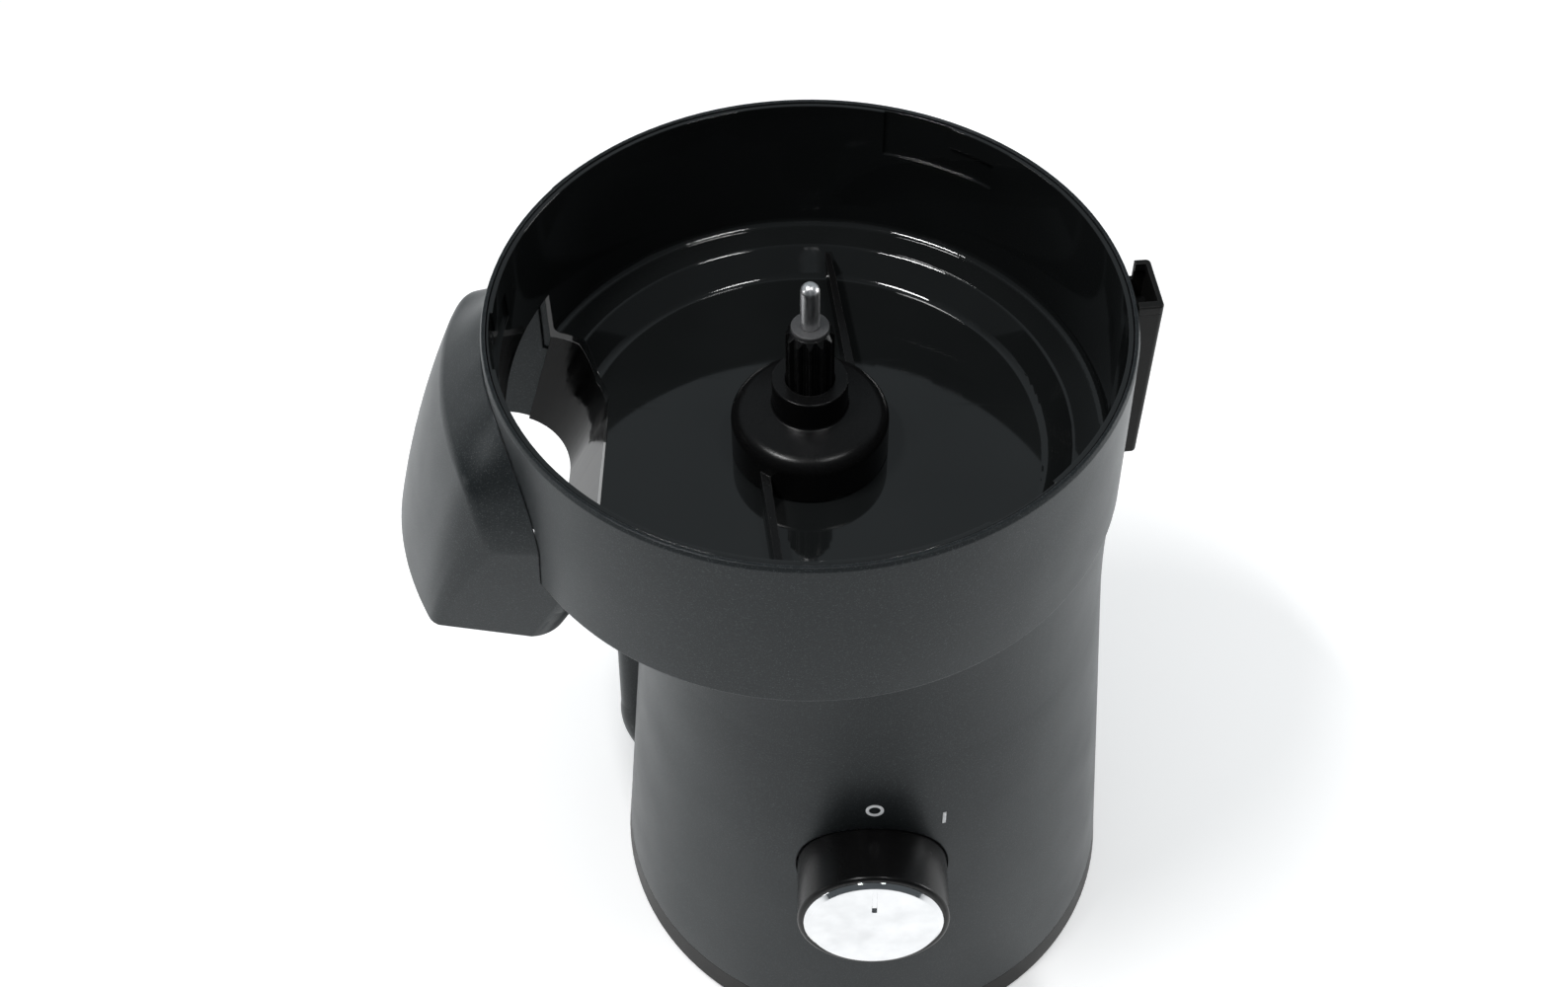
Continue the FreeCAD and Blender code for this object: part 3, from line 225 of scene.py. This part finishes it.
def shell_graphite():
    """Satin graphite plastic with fine metallic flakes, a little lighter on its edges."""
    material, tree, shader = new_material("shell_graphite")
    speckle = ramp(tree, flakes(tree, 4200.0), [
        (0.00, (0.0088, 0.0104, 0.0112)),
        (0.60, (0.0112, 0.0132, 0.0142)),
        (0.90, (0.0160, 0.0186, 0.0198)),
        (1.00, (0.0480, 0.0525, 0.0550)),
    ])
    broad = spread(tree, noise(tree, 14.0, 3.0), 0.82, 1.0)
    colour = blend(tree, broad, (0.0075, 0.0088, 0.0095), speckle)
    rubbed, soft = edges(tree, 0.0007)
    colour = blend(tree, rubbed, colour, (0.045, 0.046, 0.048))
    gloss = spread(tree, noise(tree, 30.0, 5.0), 0.33, 0.39)
    finish(tree, shader, colour, blend(tree, rubbed, gloss, 0.26))
    bump(tree, shader, noise(tree, 1900.0, 2.0), 0.3, 0.00009, soft)
    shader.inputs["Metallic"].default_value = 0.15
    shader.inputs["Specular IOR Level"].default_value = 0.22
    shader.inputs["Specular Tint"].default_value = (0.90, 0.97, 1.0, 1)
    return material


def bowl_black():
    """Gloss black plastic: mirror shine with fine wiping marks and softly rounded edges."""
    material, tree, shader = new_material("bowl_black")
    cloud = noise(tree, 18.0, 2.0)
    colour = spread(tree, cloud, (0.0055, 0.0062, 0.0063), (0.0078, 0.0086, 0.0088))
    rubbed, soft = edges(tree, 0.0005)
    colour = blend(tree, rubbed, colour, (0.006, 0.006, 0.006))
    haze = spread(tree, noise(tree, 55.0, 4.0), 0.035, 0.075, start=0.35, end=0.75)
    wiping = noise(tree, 500.0, 3.0, (0.06, 1, 0.06))
    marks = spread(tree, wiping, 0.0, 1.0, start=0.62, end=0.70)
    finish(tree, shader, colour, blend(tree, marks, haze, 0.11))
    bump(tree, shader, noise(tree, 28.0, 1.0), 0.06, 0.0005, soft)
    return material


def ramp_black():
    """The chute's ramp: a darker gloss black than the bowl, streaked from top to bottom."""
    material, tree, shader = new_material("ramp_black")
    streaks = noise(tree, 60.0, 3.0, (0.1, 8, 0.1))
    colour = spread(
        tree, streaks, (0.002, 0.002, 0.002), (0.005, 0.005, 0.0052), start=0.35, end=0.70
    )
    rough = spread(tree, streaks, 0.05, 0.17, start=0.35, end=0.65)
    finish(tree, shader, colour, rough)
    bump(tree, shader, streaks, 0.08, 0.0003)
    shader.inputs["Specular IOR Level"].default_value = 0.12
    return material


def black_satin():
    """Satin black plastic of the hub, the spline, the knob and the interlock's rod."""
    return textured(
        "black_satin", (0.0030, 0.0030, 0.0031), (0.0052, 0.0052, 0.0054),
        rough=(0.22, 0.30), grain=1500.0, depth=0.00006, worn=0.10, shine=0.20
    )


def lock_grey():
    """Dark grey plastic of the base ring and the interlock tower."""
    return textured(
        "lock_grey", (0.0055, 0.0054, 0.0052), (0.0090, 0.0088, 0.0085),
        rough=(0.38, 0.47), grain=1800.0, depth=0.00008, worn=0.12, shine=0.15
    )


def inner_black():
    """Plain black plastic of the inner pieces and the base plate."""
    return textured(
        "inner_black", (0.02, 0.02, 0.02), (0.035, 0.035, 0.035),
        rough=(0.5, 0.6), grain=900.0, depth=0.0001
    )


def washer_grey():
    """Grey plastic of the retaining washer."""
    return textured(
        "washer_grey", (0.040, 0.040, 0.041), (0.060, 0.060, 0.062),
        rough=(0.42, 0.5), grain=1600.0, depth=0.00005
    )


def mark_white():
    """White ink of the switch marks."""
    return textured(
        "mark_white", (0.78, 0.79, 0.80), (0.86, 0.87, 0.88),
        rough=(0.45, 0.55), grain=900.0, depth=0.00003
    )


def rubber():
    """Matte black rubber of the feet, the seal, the motor's mounts and the cord's bushing."""
    return textured(
        "rubber", (0.016, 0.016, 0.016), (0.028, 0.028, 0.028),
        rough=(0.7, 0.82), grain=700.0, depth=0.00012, worn=0.1
    )


def belt_rubber():
    """Coarser rubber of the drive belt."""
    return textured(
        "belt_rubber", (0.012, 0.012, 0.012), (0.022, 0.022, 0.022),
        rough=(0.65, 0.75), grain=500.0, depth=0.0002
    )


def part_blue():
    """Blue casing of the parts on the control board."""
    return textured(
        "part_blue", (0.03, 0.07, 0.19), (0.05, 0.10, 0.26),
        rough=(0.3, 0.4), grain=300.0, depth=0.00005
    )


def board_green():
    """Green lacquer of the control board."""
    return textured(
        "board_green", (0.012, 0.085, 0.03), (0.02, 0.12, 0.045),
        rough=(0.25, 0.35), grain=200.0, depth=0.00005
    )


def carbon():
    """Pressed carbon of the brushes."""
    return textured(
        "carbon", (0.03, 0.03, 0.032), (0.07, 0.07, 0.075),
        rough=(0.4, 0.55), grain=600.0, depth=0.0001
    )


# ------------------------------------------------------------ metals

def steel():
    """Ground steel, with upright lines along its shafts."""
    return lined_metal(
        "steel", (0.66, 0.66, 0.67), (0.92, 0.92, 0.93),
        rough=(0.28, 0.44), lines=900.0, stretch=(1, 1, 0.12)
    )


def laminations():
    """Dark stacked sheets of the motor's cores."""
    return lined_metal(
        "laminations", (0.16, 0.16, 0.17), (0.34, 0.34, 0.36),
        rough=(0.35, 0.5), lines=250.0, stretch=(0.2, 0.2, 10)
    )


def aluminium():
    """Cast aluminium of the motor's brackets, the pulleys and the bearing carrier."""
    return textured(
        "aluminium", (0.50, 0.51, 0.52), (0.64, 0.65, 0.66),
        rough=(0.35, 0.5), grain=400.0, depth=0.0001, metallic=1.0
    )


def copper():
    """Copper of the windings and the commutator."""
    return lined_metal(
        "copper", (0.42, 0.16, 0.06), (0.72, 0.33, 0.14),
        rough=(0.25, 0.4), lines=400.0, stretch=(8, 8, 2)
    )


def brass():
    """Brass of the brush holders."""
    return lined_metal(
        "brass", (0.56, 0.40, 0.14), (0.76, 0.56, 0.24),
        rough=(0.25, 0.4), lines=300.0, stretch=(3, 3, 3)
    )


def knob_chrome():
    """Polished chrome of the knob's face."""
    return lined_metal(
        "knob_chrome", (0.74, 0.75, 0.76), (0.84, 0.85, 0.86),
        rough=(0.04, 0.08), lines=120.0, stretch=(1, 1, 1)
    )


MAKERS = [
    shell_graphite, bowl_black, black_satin, lock_grey, knob_chrome, mark_white, steel, laminations,
    copper, aluminium, belt_rubber, rubber, carbon, brass, inner_black, board_green, part_blue,
    washer_grey,
]


def dress(node, material):
    """Give a node this material alone."""
    node.data.materials.clear()
    node.data.materials.append(material)


def dress_nodes():
    """Give every CAD node the material of its slot, and the ramp its own streaked one."""
    materials = {maker.__name__: maker() for maker in MAKERS}
    for part in frame["record"]["subparts"]:
        dress(NODES[part["node"]], materials[part["material_slot"]])
    dress(NODES["chute_ramp"], ramp_black())


# ------------------------------------------------------------ interlock spring

SPRING_WIRE = 0.0006         # wire thickness
SPRING_TURNS = 8             # the first and the last lie closed
SPRING_STEPS = 24            # wire sections in each turn
SPRING_SIDES = 10            # corners of one wire section


def coil_rise(turn, span):
    """Height of the coil's centre line after so many turns."""
    pitch = (span - 2 * SPRING_WIRE) / (SPRING_TURNS - 2)
    if turn < 1:
        return turn * SPRING_WIRE
    if turn > SPRING_TURNS - 1:
        return span - (SPRING_TURNS - turn) * SPRING_WIRE
    return SPRING_WIRE + (turn - 1) * pitch


def coil_corners(centre, radius, span):
    """Corners of the wire's round sections, one section after another along the coil."""
    corners = []
    for step in range(SPRING_TURNS * SPRING_STEPS + 1):
        turn = step / SPRING_STEPS
        angle = 2 * math.pi * turn
        outward = Vector((math.cos(angle), math.sin(angle), 0))
        middle = centre + outward * radius + Vector((0, 0, coil_rise(turn, span)))
        for side in range(SPRING_SIDES):
            way = 2 * math.pi * side / SPRING_SIDES
            offset = outward * math.cos(way) + Vector((0, 0, math.sin(way)))
            corners.append(middle + offset * SPRING_WIRE / 2)
    return corners


def coil_faces(count):
    """Faces between neighbouring sections, and a flat one on each end of the wire."""
    last = count - SPRING_SIDES
    faces = []
    for first in range(0, last, SPRING_SIDES):
        for side in range(SPRING_SIDES):
            after = (side + 1) % SPRING_SIDES
            faces.append((
                first + side,
                first + side + SPRING_SIDES,
                first + after + SPRING_SIDES,
                first + after,
            ))
    faces.append(tuple(range(SPRING_SIDES)))
    faces.append(tuple(reversed(range(last, count))))
    return faces


def coil_mesh(centre, radius, span):
    """A round wire wound into a coil."""
    corners = coil_corners(centre, radius, span)
    mesh = bpy.data.meshes.new("interlock_coil")
    mesh.from_pydata(corners, [], coil_faces(len(corners)))
    for face in mesh.polygons:
        face.use_smooth = True
    return mesh


def interlock_coil():
    """The interlock's return spring as a wound coil."""
    low, high = (Vector(corner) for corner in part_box("interlock_spring"))
    radius = (high.x - low.x - SPRING_WIRE) / 2
    centre = Vector(((low.x + high.x) / 2, (low.y + high.y) / 2, low.z + SPRING_WIRE / 2))
    height = high.z - low.z
    coil = bpy.data.objects.new("interlock_coil", coil_mesh(centre, radius, height - SPRING_WIRE))
    coil.data.materials.append(bpy.data.materials["steel"])
    bpy.context.scene.collection.objects.link(coil)
    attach(coil, "base")
    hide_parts("interlock_spring")
    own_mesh(coil)


# ------------------------------------------------------------ studio

FLOOR_RADIUS = 9.0
FLOOR_DROP = 0.0002          # how far the floor lies under the feet
FLOOR_CORNERS = 96
FLOOR_GLOW = 0.35            # lifts the floor to the white of the background

ROOM_FRONT = (0.09, 0.10, 0.107)
ROOM_BACK = (0.31, 0.345, 0.365)
ROOM_TURN = 0.42             # where the room reaches its rear grey, by the direction's Y

LENS = 43.07                 # millimetres, for the sensor below
SENSOR = 36.0
LENS_SHIFT = -0.0166
CAMERA_REACH = 0.573         # distance from the middle of the rim
CAMERA_RISE = 44.85          # degrees above the rim's plane
CAMERA_TILT = 39.5           # degrees from straight down


def floor_white():
    """Matte white table top, very nearly even."""
    material, tree, shader = new_material("floor_white")
    cloud = noise(tree, 6.0, 2.0)
    colour = spread(tree, cloud, (0.905, 0.905, 0.905), (0.915, 0.915, 0.915))
    rough = spread(tree, cloud, 0.75, 0.8)
    finish(tree, shader, colour, rough)
    shader.inputs["Emission Color"].default_value = (1, 1, 1, 1)
    shader.inputs["Emission Strength"].default_value = FLOOR_GLOW
    return material


def floor():
    """A wide round table top just under the feet."""
    bpy.ops.mesh.primitive_circle_add(
        vertices=FLOOR_CORNERS, radius=FLOOR_RADIUS, fill_type="NGON", location=(0, 0, -FLOOR_DROP)
    )
    plane = bpy.context.object
    plane.name = "studio_floor"
    plane.data.materials.append(floor_white())


def area_light(name, place, target, size, power, mirrored=True):
    """Elliptical soft light that looks at a point.  Gloss mirrors it unless told not to."""
    data = bpy.data.lights.new(name, "AREA")
    data.shape = "ELLIPSE"
    data.size, data.size_y = size
    data.energy = power
    light = bpy.data.objects.new(name, data)
    light.location = place
    light.rotation_euler = (Vector(target) - Vector(place)).to_track_quat("-Z", "Y").to_euler()
    light.visible_glossy = mirrored
    bpy.context.scene.collection.objects.link(light)


def studio_lights():
    """Low windows at both sides, a soft top, and two strips whose glints follow the bowl's edges.

    The windows stand too low to shine over the rim onto the bowl's ledge.
    """
    chute = (-0.11, -0.04, 0.26)
    bowl = (0, 0, 0.28)
    area_light("window_left", (-1.66, -0.31, 0.48), chute, size=(0.55, 0.36), power=3)
    area_light("window_right", (1.5, 0.30, 0.40), bowl, size=(0.5, 0.5), power=8)
    area_light("top_soft", (-0.1, -0.3, 1.9), bowl, size=(1.2, 1.2), power=7, mirrored=False)
    area_light("strip_left", (-0.56, -0.24, 1.64), bowl, size=(0.50, 0.12), power=14)
    area_light("strip_right", (0.42, -0.27, 1.67), bowl, size=(0.36, 0.06), power=4)


def surroundings():
    """White to the camera, and for reflections a room that is grey behind and dark in front."""
    world = bpy.data.worlds.new("studio")
    bpy.context.scene.world = world
    world.use_nodes = True
    tree = world.node_tree
    output = tree.nodes["World Output"]
    room = tree.nodes["Background"]
    coords = tree.nodes.new("ShaderNodeTexCoord")
    split = tree.nodes.new("ShaderNodeSeparateXYZ")
    tree.links.new(coords.outputs["Generated"], split.inputs["Vector"])
    walls = spread(tree, split.outputs["Y"], ROOM_FRONT, ROOM_BACK, start=0.0, end=ROOM_TURN)
    tree.links.new(walls, room.inputs["Color"])
    seen = add_node(tree, "ShaderNodeBackground", Color=(1, 1, 1, 1), Strength=1.0)
    path = tree.nodes.new("ShaderNodeLightPath")
    mix = tree.nodes.new("ShaderNodeMixShader")
    tree.links.new(path.outputs["Is Camera Ray"], mix.inputs["Fac"])
    tree.links.new(room.outputs["Background"], mix.inputs[1])
    tree.links.new(seen.outputs["Background"], mix.inputs[2])
    tree.links.new(mix.outputs["Shader"], output.inputs["Surface"])


def camera():
    """The photograph's view: about 45 degrees above the bowl's rim, from the front."""
    data = bpy.data.cameras.new("camera")
    data.lens = LENS
    data.sensor_width = SENSOR
    data.shift_x = LENS_SHIFT
    holder = bpy.data.objects.new("camera", data)
    rim_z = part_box("bowl_shell")[1].z
    rise = math.radians(CAMERA_RISE)
    back = CAMERA_REACH * math.cos(rise)
    up = CAMERA_REACH * math.sin(rise)
    holder.location = (0, -back, rim_z + up)
    holder.rotation_euler = (math.radians(CAMERA_TILT), 0, 0)
    bpy.context.scene.collection.objects.link(holder)
    bpy.context.scene.camera = holder


dress_nodes()
interlock_coil()
floor()
studio_lights()
surroundings()
camera()
bpy.context.scene.view_settings.view_transform = "Standard"
